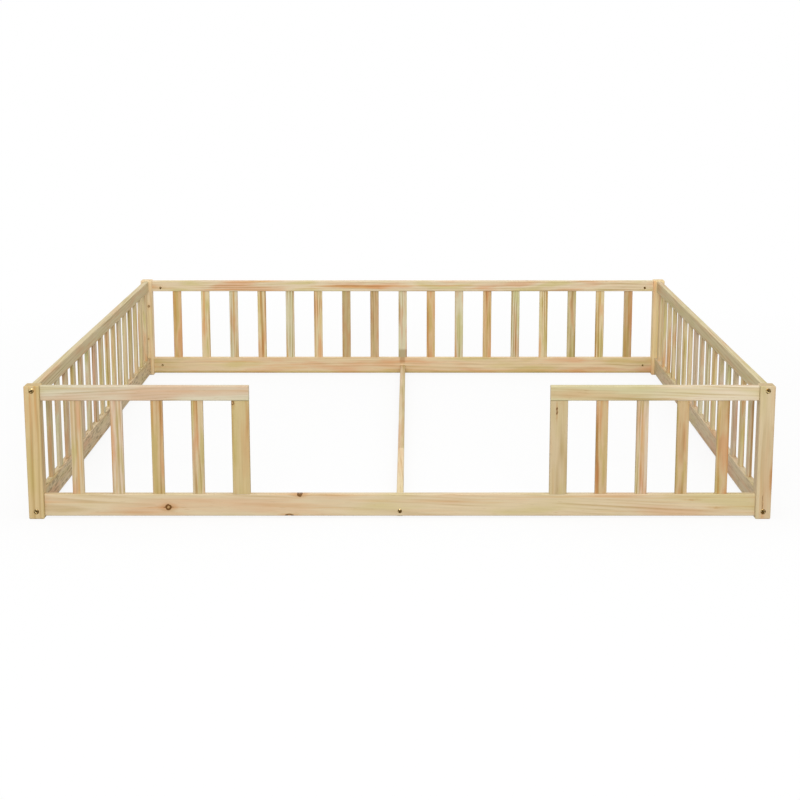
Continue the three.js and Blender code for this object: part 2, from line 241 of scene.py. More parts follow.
# A knot's along, across and depth are its place from the board's middle, radius is its half
# width, and stretch is its length over its width. Push is how far it moves the rings, in radii.
# Halo, heart and rim are the strengths of its warm surround, brown middle and dark outline, and
# pale is the share of the radius that the outline leaves free.
KNOT = {"stretch": 1.0, "push": 0.9, "halo": 0.6, "heart": 0.8, "rim": 0.9, "pale": 0.42}
KNOT_HALO = "#EAC8A2"
KNOT_HEART = "#BF9864"
KNOT_RING = "#67400A"
HALO_STRETCH = 2.2
# A knot's outline strays by up to half of this, in waves of the second size
KNOT_RAGGED = 5 * MM
KNOT_WAVE = 7.7 * MM
# Where each part of a knot starts and where it is full, in radii from the knot's middle
PUSH_REACH = (3.5, 0.5)
HALO_REACH = (2.6, 0.6)
HEART_REACH = (1.15, 0.85)
RIM_REACH = (1.42, 1.16)
RIM_SOFTNESS = 0.22

# A stain's spans are each an axis, where it starts and where it is full, in the board's frame
# Greyer at the foot of the middle back slat and on the back bottom rail under it, to this height
FOOT_GREY = "#D8CFC0"
GREY_UP_TO = 33 * MM
GREY_EDGE = 6 * MM

BARK_FLECK = "#84683E"
# Flecks grow commoner from a third of this far off the middle line up to the whole
FLECK_EDGE = 34 * MM
MORE_AT_EDGE = 0.14
FLECK_FROM = 0.64
FLECK_FULL = 0.76


def knot_reaches(tree, place, knots):
    """Each knot with its distances in radii, and how far all of them push the rings."""
    if not knots:
        return [], 0.0
    rough = add(tree, NOISE, {"Vector": place, "Scale": scale_for(KNOT_WAVE)})
    ragged = add(tree, VECTOR, {0: rough.outputs["Color"], 1: (KNOT_RAGGED,) * 3, 2: place},
                 operation="MULTIPLY_ADD")
    push = 0.0
    marks = []
    for knot in ({**KNOT, **given} for given in knots):
        size = knot["radius"]
        length = size * knot["stretch"]
        # A knot goes through the board unless it has a depth
        through = 1 / size if "depth" in knot else 0
        middle = tuple(knot.get(way, 0) + KNOT_RAGGED / 2 for way in ("along", "across", "depth"))
        away = add(tree, VECTOR, {0: ragged, 1: middle}, operation="SUBTRACT")
        reaches = []
        for longer in (1.0, HALO_STRETCH):
            scaled = add(tree, VECTOR, {0: away, 1: (1 / (length * longer), 1 / size, through)},
                         operation="MULTIPLY")
            reaches.append(add(tree, VECTOR, {0: scaled}, operation="LENGTH").outputs["Value"])
        swell = add(tree, RANGE, {"Value": reaches[1], "From Min": PUSH_REACH[0],
                                  "From Max": PUSH_REACH[1], "To Max": knot["push"] * size},
                    interpolation_type="SMOOTHERSTEP")
        push = add(tree, MATH, {0: swell, 1: push}, operation="ADD").outputs[0]
        marks.append((knot, *reaches))
    return marks, push


def grain_colour(tree, pale, grain, rings, streaks, drift):
    """The pale tone under its latewood, streaks, drift and dashes, with darker fibres."""
    # Each has its colour, its pattern, where it starts and is full, and its strength
    veils = (
        (LATEWOOD, grain["Latewood"], 0.0, 1.0, rings),
        (ORANGE_STREAK, grain["Streak"], 0.54, 0.72, streaks),
        (GREEN_DRIFT, grain["Drift"], 0.52, 0.68, drift),
        (PINK_DRIFT, grain["Drift"], 0.48, 0.32, drift),
        (RESIN_DASH, grain["Dash"], 0.66, 0.76, RESIN_STRENGTH),
    )
    colour = pale
    for code, pattern, start, full, strength in veils:
        veil = add(tree, RANGE, {"Value": pattern, "From Min": start, "From Max": full,
                                 "To Max": strength})
        colour = add(tree, MIX, {0: veil, 6: colour, 7: paint(code)},
                     data_type="RGBA", blend_type="MULTIPLY").outputs[2]
    fibre = add(tree, RANGE, {"Value": grain["Fibre"], "From Min": NOISE_LOW,
                              "From Max": NOISE_HIGH, "To Min": FIBRE_DARK,
                              "To Max": FIBRE_LIGHT})
    return add(tree, VECTOR, {0: colour, "Scale": fibre}, operation="SCALE").outputs[0]


def stain_colour(tree, colour, own, stains):
    """A stain tints the part of a board that lies within all its spans."""
    for stain in stains:
        veil = stain.get("share", 1.0)
        for axis, start, full in stain["spans"]:
            inside = add(tree, RANGE, {"Value": own[axis], "From Min": start, "From Max": full},
                         interpolation_type="SMOOTHSTEP")
            veil = add(tree, MATH, {0: inside, 1: veil}, operation="MULTIPLY")
        colour = add(tree, MIX, {0: veil, 6: colour, 7: paint(stain["code"])},
                     data_type="RGBA", blend_type="MULTIPLY").outputs[2]
    return colour


def fleck_colour(tree, colour, place, own, flecks):
    """Wood from just under the bark has dark broken flecks, most of them at the board's edges."""
    fleck_place = add(tree, VECTOR, {0: place, 1: SCALES["Fleck"]}, operation="MULTIPLY")
    speck = add(tree, NOISE, {"Vector": fleck_place, "Scale": 1.0, "Detail": 3.0})
    offside = add(tree, MATH, {0: own["Y"]}, operation="ABSOLUTE")
    near_edge = add(tree, RANGE, {"Value": offside, "From Min": FLECK_EDGE / 3,
                                  "From Max": FLECK_EDGE, "To Max": MORE_AT_EDGE})
    raised = add(tree, MATH, {0: speck, 1: near_edge}, operation="ADD")
    veil = add(tree, RANGE, {"Value": raised, "From Min": FLECK_FROM, "From Max": FLECK_FULL,
                             "To Max": flecks})
    return add(tree, MIX, {0: veil, 6: colour, 7: paint(BARK_FLECK)},
               data_type="RGBA").outputs[2]


def knot_colour(tree, colour, marks):
    """Each knot's warm halo, brown heart and dark rim."""
    for knot, reach, halo_reach in marks:
        halo = add(tree, RANGE, {"Value": halo_reach, "From Min": HALO_REACH[0],
                                 "From Max": HALO_REACH[1], "To Max": knot["halo"]},
                   interpolation_type="SMOOTHERSTEP")
        heart = add(tree, RANGE, {"Value": reach, "From Min": HEART_REACH[0],
                                  "From Max": HEART_REACH[1], "To Max": knot["heart"]})
        rim_in = add(tree, RANGE, {"Value": reach, "From Min": knot["pale"],
                                   "From Max": knot["pale"] + RIM_SOFTNESS})
        rim_out = add(tree, RANGE, {"Value": reach, "From Min": RIM_REACH[0],
                                    "From Max": RIM_REACH[1], "To Max": knot["rim"]})
        rim = add(tree, MATH, {0: rim_in, 1: rim_out}, operation="MULTIPLY")
        for code, amount, blend in ((KNOT_HALO, halo, "MULTIPLY"), (KNOT_HEART, heart, "MIX"),
                                    (KNOT_RING, rim, "MIX")):
            colour = add(tree, MIX, {0: amount, 6: colour, 7: paint(code)},
                         data_type="RGBA", blend_type=blend).outputs[2]
    return colour


def end_colour(tree, colour, pale, latewood, along):
    """Sawn ends drink in more light, and show the rings as arcs."""
    facing = add(tree, "ShaderNodeTexCoord").outputs["Normal"]
    lengthways = add(tree, VECTOR, {0: facing, 1: along}, operation="DOT_PRODUCT")
    square = add(tree, MATH, {0: lengthways.outputs["Value"]}, operation="ABSOLUTE")
    end = add(tree, RANGE, {"Value": square, "From Min": END_FROM, "From Max": END_FULL})
    darker = add(tree, MIX, {0: 1.0, 6: pale, 7: paint(END_GRAIN)},
                 data_type="RGBA", blend_type="MULTIPLY").outputs[2]
    ringed = add(tree, MIX, {0: latewood, 6: darker, 7: paint(END_LATEWOOD)},
                 data_type="RGBA", blend_type="MULTIPLY").outputs[2]
    return add(tree, MIX, {0: end, 6: colour, 7: ringed}, data_type="RGBA").outputs[2]


# Tone is the pale colour, spacing the distance from ring to ring, pith the pith's place from the
# board's middle, and slope how far the grain runs off sideways for its length. Rings, streaks,
# drift and flecks are strengths, and patches makes the bands of drift finer.

def pine(name, tone=None, board=None, seed=0.0, spacing=7.0 * MM, pith=(0.0, 0.0, -0.03),
         slope=0.0, rings=0.8, streaks=0.5, drift=0.9, patches=1.0, knots=(), stains=(),
         flecks=0.0):
    """Planed bare pine. Without a board, its place, seed, pith and tone come from attributes."""
    material, tree = new_material(f"planed_pine_{name}")
    if board:
        coordinates = add(tree, "ShaderNodeTexCoord").outputs["Object"]
        place = add(tree, "ShaderNodeMapping",
                    {"Vector": coordinates, "Location": board["centre"], "Rotation": board["turn"]},
                    vector_type="TEXTURE").outputs[0]
        pale = paint(tone)
    else:
        place = add(tree, "ShaderNodeAttribute", attribute_name=PLACE).outputs["Vector"]
        seed = add(tree, "ShaderNodeAttribute", attribute_name=SEED).outputs["Fac"]
        pith = add(tree, "ShaderNodeAttribute", attribute_name=PITH).outputs["Vector"]
        pale = add(tree, "ShaderNodeAttribute", attribute_name=TONE).outputs["Color"]
        greyed = add(tree, "ShaderNodeAttribute", attribute_name=GREY_FOOT).outputs["Fac"]
        stains = [{"code": FOOT_GREY, "share": greyed,
                   "spans": [("X", GREY_UP_TO + GREY_EDGE, GREY_UP_TO - GREY_EDGE),
                             ("Z", 0, -GREY_EDGE)]}]

    marks, push = knot_reaches(tree, place, knots)
    grain = add(tree, "ShaderNodeGroup",
                {"Place": place, "Seed": seed, "Push": push, "Ring spacing": spacing,
                 "Pith": pith, "Slope": slope, "Patches": patches}, node_tree=GRAIN).outputs
    own = add(tree, "ShaderNodeSeparateXYZ", {0: place}).outputs
    colour = grain_colour(tree, pale, grain, rings, streaks, drift)
    colour = stain_colour(tree, colour, own, stains)
    if flecks:
        colour = fleck_colour(tree, colour, place, own, flecks)
    colour = knot_colour(tree, colour, marks)
    if board:
        colour = end_colour(tree, colour, pale, grain["Latewood"], board["along"])

    roughness = add(tree, RANGE, {"Value": grain["Fibre"], "From Min": NOISE_LOW,
                                  "From Max": NOISE_HIGH, "To Min": FIBRE_ROUGHNESS,
                                  "To Max": SMOOTH_ROUGHNESS})
    height = add(tree, MATH, {0: grain["Latewood"], 1: LATEWOOD_RELIEF, 2: grain["Fibre"]},
                 operation="MULTIPLY_ADD")
    bump = add(tree, "ShaderNodeBump",
               {"Strength": RELIEF_STRENGTH, "Distance": RELIEF, "Height": height})
    surface = add(tree, "ShaderNodeBsdfPrincipled",
                  {"Base Color": colour, "Roughness": roughness, "IOR": WOOD_IOR,
                   "Specular IOR Level": WOOD_SPECULAR, "Normal": bump})
    add(tree, "ShaderNodeOutputMaterial", {"Surface": surface})
    return material


AXES = {"X": (1, 0, 0), "Y": (0, 1, 0), "Z": (0, 0, 1), "-X": (-1, 0, 0), "-Y": (0, -1, 0)}


def board_frame(node, grain, face):
    """A board's middle and turn, from the axes of its grain and of the way that its face looks."""
    low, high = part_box(node)
    along = Vector(AXES[grain])
    depth = Vector(AXES[face])
    across = depth.cross(along)
    turn = Matrix((along, across, depth)).transposed().to_euler()
    return {"centre": (low + high) / 2, "turn": turn, "along": along}


def dress(node, grain, face, **wood):
    """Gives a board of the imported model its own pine."""
    material = pine(node, board=board_frame(node, grain, face), **wood)
    nodes[node].data.materials.clear()
    nodes[node].data.materials.append(material)


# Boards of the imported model. A spot is a soft mark that leaves the rings straight, and a pin is a
# dark round dot on the front face of a post alone.
SPOT = {"push": 0.0, "halo": 0.3, "heart": 0.5, "rim": 0.0}
PIN = {**SPOT, "radius": 4 * MM, "heart": 1.0, "rim": 0.5, "depth": 22 * MM}

dress("post_front_left", "Z", "-Y", tone="#D2B988", seed=1.3, spacing=9 * MM,
      pith=(0, 0.03, -0.035), slope=0.02, streaks=0.8)
dress("post_front_right", "Z", "-Y", tone="#D3BF99", seed=4.7, spacing=8 * MM,
      pith=(0, -0.01, -0.03), slope=-0.03,
      knots=[{"along": -77 * MM, "across": -23 * MM, "radius": 5 * MM, "stretch": 2.4,
              "push": 0.0, "halo": 1.0, "heart": 0.0, "rim": 0.0},
             {**SPOT, "along": -145 * MM, "across": 3 * MM, "radius": 1.2 * MM, "stretch": 15,
              "rim": 0.6}])
# The back posts' pale tones are partly painted light, to make up for shade in their corners
dress("post_back_left", "Z", "-Y", tone="#F6DFB6", seed=7.9, spacing=8 * MM, pith=(0, 0.02, -0.04),
      knots=[{**PIN, "along": 90 * MM, "across": -9 * MM},
             {**PIN, "along": -45 * MM, "across": -2 * MM, "heart": 0.7, "rim": 0.1}])
dress("post_back_right", "Z", "-Y", tone="#F2D9A7", seed=2.2, spacing=9 * MM,
      pith=(0, -0.03, -0.03))

RING_KNOT = {"along": -666 * MM, "across": -6 * MM, "radius": 7 * MM, "heart": 0.7, "rim": 1.0}
dress("front_bottom_rail", "X", "-Y", tone="#D9C5A1", seed=3.4, spacing=8 * MM,
      pith=(0, -0.045, -0.05), slope=0.035, rings=0.7, drift=0.7,
      knots=[
          {**SPOT, **RING_KNOT, "radius": 1.6 * MM, "stretch": 7, "rim": 0.7},
          RING_KNOT,
          {"along": -288 * MM, "across": 33 * MM, "radius": 6.5 * MM, "pale": 0.0,
           "heart": 1.0},
          {"along": -318 * MM, "across": -31 * MM, "radius": 4 * MM, "stretch": 2.4},
          {**SPOT, "along": 838 * MM, "across": 16 * MM, "radius": 2 * MM, "stretch": 4.0},
          {**SPOT, "along": 913 * MM, "across": -8 * MM, "radius": 2 * MM, "stretch": 5.0},
      ])
dress("front_left_top_rail", "X", "-Y", tone="#D5CAAF", seed=5.2, spacing=7 * MM,
      pith=(0, 0.05, -0.03), slope=-0.02)
dress("front_right_top_rail", "X", "-Y", tone="#DFCFB3", seed=8.8, spacing=8 * MM,
      pith=(0, -0.05, -0.03), slope=0.02,
      stains=[{"code": "#EDF2DC", "spans": [("X", 80 * MM, -60 * MM)]}])
dress("front_left_stile", "Z", "-Y", tone="#CBB584", seed=6.1, spacing=9 * MM,
      pith=(0, 0.02, -0.04),
      knots=[{"along": 132 * MM, "across": 21 * MM, "radius": 4 * MM, "stretch": 1.4,
              "halo": 0.4, "rim": 0.7}])
dress("front_right_stile", "Z", "-Y", tone="#CDB892", seed=9.6, spacing=8 * MM,
      pith=(0, -0.01, -0.05),
      knots=[{"along": 108 * MM, "across": 7 * MM, "radius": 1.8 * MM, "stretch": 5.0,
              "push": 0.0, "halo": 0.5, "heart": 0.5, "rim": 1.0}])
# The back rails' tones are partly painted light, a little paler to make up for less light at the
# back
dress("back_top_rail", "X", "-Y", tone="#E5D2B0", seed=12.5, spacing=8 * MM,
      pith=(0, 0.06, -0.04), slope=0.01, rings=1.8, streaks=1.0, drift=1.3, patches=1.5)
dress("back_bottom_rail", "X", "-Y", tone="#E7CFA7", seed=14.9, spacing=8 * MM,
      pith=(0, -0.05, -0.05), slope=-0.012, patches=1.6,
      stains=[{"code": "#E6E0BA", "spans": [("Y", -20 * MM, -28 * MM)]},
              {"code": FOOT_GREY, "spans": [("X", -16 * MM, -8 * MM), ("X", 13 * MM, 5 * MM),
                                             ("Y", 2 * MM, 20 * MM), ("Z", 0, GREY_EDGE)]}])
dress("left_top_rail", "Y", "X", tone="#D2C299", seed=17.3, spacing=8 * MM, pith=(0, 0.05, -0.04),
      rings=1.2)
dress("right_top_rail", "Y", "-X", tone="#D3C49B", seed=19.1, spacing=8 * MM,
      pith=(0, -0.05, -0.04), rings=1.2)
dress("centre_beam", "Y", "Z", tone="#E1CBA2", seed=22.6, spacing=8 * MM, pith=(0, 0.04, -0.03),
      stains=[{"code": "#F2F1F3", "spans": [("X", -365 * MM, -355 * MM)]},
              {"code": "#EEF0DC", "spans": [("X", -365 * MM, -355 * MM), ("Y", 2 * MM, -2 * MM)]}])


# Slats: one bar with eased long edges and a stub tenon at each end, repeated at each place

EDGE_STEPS = 3
WELD = 0.01 * MM


def slat_tree():
    """One slat on each point, with its foot at the point and its tenons below and above."""
    tree = bpy.data.node_groups.new("slats", "GeometryNodeTree")
    sockets = tree.interface
    sockets.new_socket("Places", in_out="INPUT", socket_type="NodeSocketGeometry")
    for label in ("Width", "Thickness", "Height", "Edge radius", "Tenon width",
                  "Tenon thickness", "Tenon length", "Turn"):
        sockets.new_socket(label, in_out="INPUT", socket_type="NodeSocketFloat")
    sockets.new_socket("Wood", in_out="INPUT", socket_type="NodeSocketMaterial")
    sockets.new_socket("Slats", in_out="OUTPUT", socket_type="NodeSocketGeometry")
    given = add(tree, "NodeGroupInput").outputs

    outline = add(tree, "GeometryNodeCurvePrimitiveQuadrilateral",
                  {"Width": given["Width"], "Height": given["Thickness"]})
    eased = add(tree, "GeometryNodeFilletCurve",
                {"Curve": outline, "Radius": given["Edge radius"], "Count": EDGE_STEPS},
                mode="POLY")
    foot = add(tree, "GeometryNodeFillCurve", {"Curve": eased}, mode="NGONS")
    walls = add(tree, "GeometryNodeExtrudeMesh",
                {"Mesh": foot, "Offset Scale": given["Height"], "Individual": False})
    underside = add(tree, "GeometryNodeFlipFaces", {"Mesh": foot})
    both = add(tree, "GeometryNodeJoinGeometry", {"Geometry": [walls, underside]})
    bar = add(tree, "GeometryNodeMergeByDistance", {"Geometry": both, "Distance": WELD})

    reach = add(tree, MATH, {0: given["Tenon length"], 1: 2.0, 2: given["Height"]},
                operation="MULTIPLY_ADD")
    tenon_size = add(tree, "ShaderNodeCombineXYZ", {"X": given["Tenon width"],
                                                    "Y": given["Tenon thickness"], "Z": reach})
    middle = add(tree, MATH, {0: given["Height"], 1: 0.5}, operation="MULTIPLY")
    lift = add(tree, "ShaderNodeCombineXYZ", {"Z": middle})
    tenon = add(tree, "GeometryNodeMeshCube", {"Size": tenon_size})
    raised = add(tree, "GeometryNodeTransform", {"Geometry": tenon, "Translation": lift})
    slat = add(tree, "GeometryNodeMeshBoolean", {"Mesh 2": [bar, raised]},
               operation="UNION", solver="EXACT")

    # The grain runs up the slat, so its own frame is height, width and thickness
    position = add(tree, "GeometryNodeInputPosition")
    own = add(tree, "ShaderNodeSeparateXYZ", {0: position}).outputs
    grain = add(tree, "ShaderNodeCombineXYZ", {"X": own["Z"], "Y": own["X"], "Z": own["Y"]})
    marked = add(tree, "GeometryNodeStoreNamedAttribute",
                 {"Geometry": slat, "Name": PLACE, "Value": grain},
                 data_type="FLOAT_VECTOR", domain="POINT")

    turn = add(tree, "ShaderNodeCombineXYZ", {"Z": given["Turn"]})
    placed = add(tree, "GeometryNodeInstanceOnPoints",
                 {"Points": given["Places"], "Instance": marked, "Rotation": turn})
    real = add(tree, "GeometryNodeRealizeInstances", {"Geometry": placed})
    wooden = add(tree, "GeometryNodeSetMaterial", {"Geometry": real, "Material": given["Wood"]})
    add(tree, "NodeGroupOutput", {"Slats": wooden})
    return tree


def grow(name, base, tree, settings):
    """Runs a node tree over the points of a base mesh, and keeps the result as a plain mesh."""
    piece = bpy.data.objects.new(name, base)
    bpy.context.scene.collection.objects.link(piece)
    shape = piece.modifiers.new("shape", "NODES")
    shape.node_group = tree
    for item in tree.interface.items_tree:
        if item.in_out == "INPUT" and item.name in settings:
            shape[item.identifier] = settings[item.name]
    bpy.context.view_layer.update()
    graph = bpy.context.evaluated_depsgraph_get()
    made = bpy.data.meshes.new_from_object(piece.evaluated_get(graph))
    piece.modifiers.remove(shape)
    piece.data = made
    made.name = name
    point_outwards(made)
    return piece


def point_outwards(mesh):
    shell = bmesh.new()
    shell.from_mesh(mesh)
    bmesh.ops.recalc_face_normals(shell, faces=shell.faces)
    shell.to_mesh(mesh)
    shell.free()


# Tones of single slats, as pine boards vary: seen through the fence they go from pale to tan
SLAT_TONES = {
    "pale": "#DED5B4",
    "cream": "#E5D2A7",
    "pink": "#D7C3A7",
    "buff": "#D2BD97",
    "straw": "#D2C195",
    "honey": "#DCBC8B",
    "tan": "#CDB286",
    "umber": "#C5AE7F",
}

SLATS = slat_tree()
SLAT_PINE = pine("slats", spacing=9 * MM, rings=2.0, streaks=1.1, drift=1.3, patches=2.2)
EDGE_RADIUS = 2 * MM
TENON = {"Tenon width": 22 * MM, "Tenon thickness": 7 * MM, "Tenon length": 14 * MM}
FRONT_SLATS = 4
BACK_SLATS = 17
SIDE_SLATS = 17
SIDE_END_GAP = 34 * MM

# From slat to slat the pith moves by up to 45 mm to either side, and lies 9 to 53 mm deep
SEED_RISE = 1.37
PITH_ASIDE = 45 * MM
ASIDE_TURN = 2.4
PITH_DEPTH = 22 * MM
MEAN_DEPTH = 1.4
DEPTH_TURN = 1.7


def fence(name, places, tones, seed, replaced, turn=0.0, greyed=None):
    """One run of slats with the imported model's section. One slat may get a greyer inner foot."""
    base = bpy.data.meshes.new(name)
    base.from_pydata(places, [], [])
    marks = base.attributes
    marks.new(TONE, "FLOAT_COLOR", "POINT")
    marks.new(SEED, "FLOAT", "POINT")
    marks.new(PITH, "FLOAT_VECTOR", "POINT")
    marks.new(GREY_FOOT, "FLOAT", "POINT")
    for i, tone in enumerate(tones.split()):
        own_seed = seed + SEED_RISE * i
        aside = PITH_ASIDE * math.sin(ASIDE_TURN * own_seed)
        depth = PITH_DEPTH * (MEAN_DEPTH + math.sin(DEPTH_TURN * own_seed))
        marks[TONE].data[i].color = paint(SLAT_TONES[tone])
        marks[SEED].data[i].value = own_seed
        marks[PITH].data[i].vector = (0, aside, -depth)
        marks[GREY_FOOT].data[i].value = float(i == greyed)
    low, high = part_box("back_slat_01")
    size = high - low
    settings = {
        "Width": size.x,
        "Thickness": size.y,
        "Height": size.z - 2 * TENON["Tenon length"],
        "Edge radius": EDGE_RADIUS,
        "Turn": turn,
        "Wood": SLAT_PINE,
        **TENON,
    }
    piece = grow(name, base, SLATS, settings)
    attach(piece, BODY)
    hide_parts(*replaced)


def foot_of(node):
    """The middle of a slat's foot, above its lower tenon."""
    low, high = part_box(node)
    return ((low.x + high.x) / 2, (low.y + high.y) / 2, low.z + TENON["Tenon length"])


def side_places(side):
    """Feet of the evenly spaced slats between the front post and the back post."""
    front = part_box(f"post_front_{side}")
    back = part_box(f"post_back_{side}")
    low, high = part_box("back_slat_01")
    half = (high.x - low.x) / 2
    first = front[1].y + SIDE_END_GAP + half
    last = back[0].y - SIDE_END_GAP - half
    step = (last - first) / (SIDE_SLATS - 1)
    x = (front[0].x + front[1].x) / 2
    z = foot_of("back_slat_01")[2]
    return [(x, first + step * i, z) for i in range(SIDE_SLATS)]


def front_slats(side, seed, tones):
    members = [f"front_{side}_slat_{i}" for i in range(1, FRONT_SLATS + 1)]
    fence(f"front_{side}_slats", [foot_of(n) for n in members], tones, seed, members)


def back_slats(seed, tones):
    members = [f"back_slat_{i:02d}" for i in range(1, BACK_SLATS + 1)]
    fence("back_slats", [foot_of(n) for n in members], tones, seed, members,
          greyed=BACK_SLATS // 2)


def side_slats(side, seed, tones):
    fence(f"{side}_slats", side_places(side), tones, seed, [f"{side}_slatted_bottom_rail"],
          turn=math.pi / 2)


front_slats("left", 31.0, "buff tan pink buff")
front_slats("right", 49.5, "tan pink tan tan")
back_slats(63.0, "honey cream pale cream pale cream umber tan pale honey pale honey pale cream "
                 "straw cream tan")
side_slats("left", 91.0, "umber straw pale buff pale pink pale pink pale cream cream pale cream "
                         "buff cream cream cream")
side_slats("right", 121.0, "honey pale cream pink pale pink cream pale pale pink cream cream "
                           "pink cream cream cream cream")


# Side bottom rails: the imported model's node without its slats, cut off just below the slats' feet

CUT_BELOW_TOP = 0.02 * MM
MERGE_WITHIN = 0.005 * MM


def side_bottom_rail(side, **wood):
    """The rail is cut from a copy of its node's mesh, and the cut is closed."""
    node = f"{side}_slatted_bottom_rail"
    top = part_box("front_bottom_rail")[1].z - CUT_BELOW_TOP
    shell = bmesh.new()
    shell.from_mesh(nodes[node].data)
    bmesh.ops.remove_doubles(shell, verts=shell.verts, dist=MERGE_WITHIN)
    everything = [*shell.verts, *shell.edges, *shell.faces]
    cut = bmesh.ops.bisect_plane(shell, geom=everything, plane_co=(0, 0, top),
                                 plane_no=(0, 0, 1), clear_outer=True)
    rim = [e for e in cut["geom_cut"] if isinstance(e, bmesh.types.BMEdge)]
    bmesh.ops.holes_fill(shell, edges=rim, sides=0)
    bmesh.ops.recalc_face_normals(shell, faces=shell.faces)
    mesh = bpy.data.meshes.new(f"{side}_bottom_rail")
    shell.to_mesh(mesh)
    shell.free()
    piece = bpy.data.objects.new(f"{side}_bottom_rail", mesh)
    bpy.context.scene.collection.objects.link(piece)
    mesh.materials.append(pine(piece.name, board=board_frame(node, "Y", "X"), **wood))
    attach(piece, BODY)
    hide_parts(node)


side_bottom_rail("left", tone="#DBC69F", seed=24.4, spacing=7 * MM, pith=(0, 0.02, 0.03),
                 slope=0.02, flecks=0.6)
side_bottom_rail("right", tone="#DAC6A2", seed=27.7, spacing=7 * MM, pith=(0, -0.02, -0.03),
                 slope=-0.015, flecks=0.25)


# Bolts and barrel nuts: the head's axis is +Z here and its outer face lies just under z = 0

# A place has an axis out of the wood and one to the nut's open end, and the bolt carries how
# dark it is: kept brown finish with painted shade in the recess and painted shadow at the rim
OUTWARD = "outward"
NUTWARD = "nutward"
UNRUBBED_AND_SHADE = "unrubbed"
HEAD_SIDES = 32
HEAD_RINGS = 6
SHANK_SIDES = 16
NUT_SIDES = 24
# The crown stays nearly flat in the middle and falls off towards the rim
CROWN_POWER = 4.0
CUT_ABOVE_HEAD = 0.05 * MM
# Dark brown, kept finish and painted shade, is whole this far below the crown, and partly at the
# rim
DARK_FROM = 0.5 * MM
RIM_FROM = 0.92
RIM_FINISH_AND_SHADE = 0.3


def crown_fields(tree, given):
    """A point's own axes, its share of the head's radius, and the crown's offset there."""
    position = add(tree, "GeometryNodeInputPosition")
    own = add(tree, "ShaderNodeSeparateXYZ", {0: position}).outputs
    flat = add(tree, "ShaderNodeCombineXYZ", {"X": own["X"], "Y": own["Y"]})
    radius = add(tree, VECTOR, {0: flat}, operation="LENGTH").outputs["Value"]
    share = add(tree, MATH, {0: radius, 1: given["Head radius"]}, operation="DIVIDE")
    raised = add(tree, MATH, {0: share, 1: CROWN_POWER}, operation="POWER")
    fallen = add(tree, MATH, {0: raised, 1: -1.0}, operation="MULTIPLY")
    drop = add(tree, MATH, {0: fallen, 1: given["Dome"]}, operation="MULTIPLY")
    return own, share, drop


def crowned_head(tree, given, own, drop, down):
    """A disc whose top is crowned and whose rim is rounded off."""
    disc = add(tree, "GeometryNodeMeshCylinder",
               {"Vertices": HEAD_SIDES, "Side Segments": 2, "Fill Segments": HEAD_RINGS,
                "Radius": given["Head radius"], "Depth": given["Head thickness"]},
               fill_type="TRIANGLE_FAN")
    upper = add(tree, MATH, {0: own["Z"], 1: 0.0}, operation="GREATER_THAN")
    lowered = add(tree, "ShaderNodeCombineXYZ", {"Z": drop})
    crowned = add(tree, "GeometryNodeSetPosition",
                  {"Geometry": disc, "Selection": upper, "Offset": lowered})
    head_place = add(tree, "ShaderNodeCombineXYZ", {"Z": down})
    return add(tree, "GeometryNodeTransform", {"Geometry": crowned, "Translation": head_place})


def cross_recess(tree, given, head):
    """Two thin four-sided points, one across the other, are cut from the crown."""
    point = add(tree, "GeometryNodeMeshCone",
                {"Vertices": 4, "Radius Top": 0.0, "Radius Bottom": given["Recess reach"],
                 "Depth": given["Recess depth"]})
    thin = add(tree, MATH, {0: given["Recess half width"], 1: given["Recess reach"]},
               operation="DIVIDE")
    thinned = add(tree, "ShaderNodeCombineXYZ", {"X": 1.0, "Y": thin, "Z": 1.0})
    mouth_height = add(tree, MATH, {0: CUT_ABOVE_HEAD, 1: given["Head sunk"]},
                       operation="SUBTRACT")
    mouth = add(tree, "ShaderNodeCombineXYZ", {"Z": mouth_height})
    wings = []
    for quarter in (0.0, math.pi / 2):
        upside_down = add(tree, "GeometryNodeTransform",
                          {"Geometry": point, "Rotation": (math.pi, 0, 0), "Scale": thinned})
        wings.append(add(tree, "GeometryNodeTransform",
                         {"Geometry": upside_down, "Rotation": (0, 0, quarter),
                          "Translation": mouth}))
    return add(tree, "GeometryNodeMeshBoolean", {"Mesh 1": head, "Mesh 2": wings},
               operation="DIFFERENCE", solver="MANIFOLD")


def shank_and_nut(tree, given, down):
    """The shank under the head, and the barrel nut across its far end."""
    shank_middle = add(tree, MATH, {0: given["Shank length"], 1: -0.5, 2: down},
                       operation="MULTIPLY_ADD")
    shank = add(tree, "GeometryNodeMeshCylinder",
                {"Vertices": SHANK_SIDES, "Radius": given["Shank radius"],
                 "Depth": given["Shank length"]})
    shank_place = add(tree, "ShaderNodeCombineXYZ", {"Z": shank_middle})
    shank_set = add(tree, "GeometryNodeTransform", {"Geometry": shank, "Translation": shank_place})
    nut = add(tree, "GeometryNodeMeshCylinder",
              {"Vertices": NUT_SIDES, "Radius": given["Nut radius"], "Depth": given["Nut length"]})
    nut_depth = add(tree, MATH, {0: given["Nut from face"], 1: -1.0}, operation="MULTIPLY")
    nut_place = add(tree, "ShaderNodeCombineXYZ", {"X": given["Nut middle"], "Z": nut_depth})
    nut_set = add(tree, "GeometryNodeTransform",
                  {"Geometry": nut, "Translation": nut_place, "Rotation": (0, math.pi / 2, 0)})
    return shank_set, nut_set


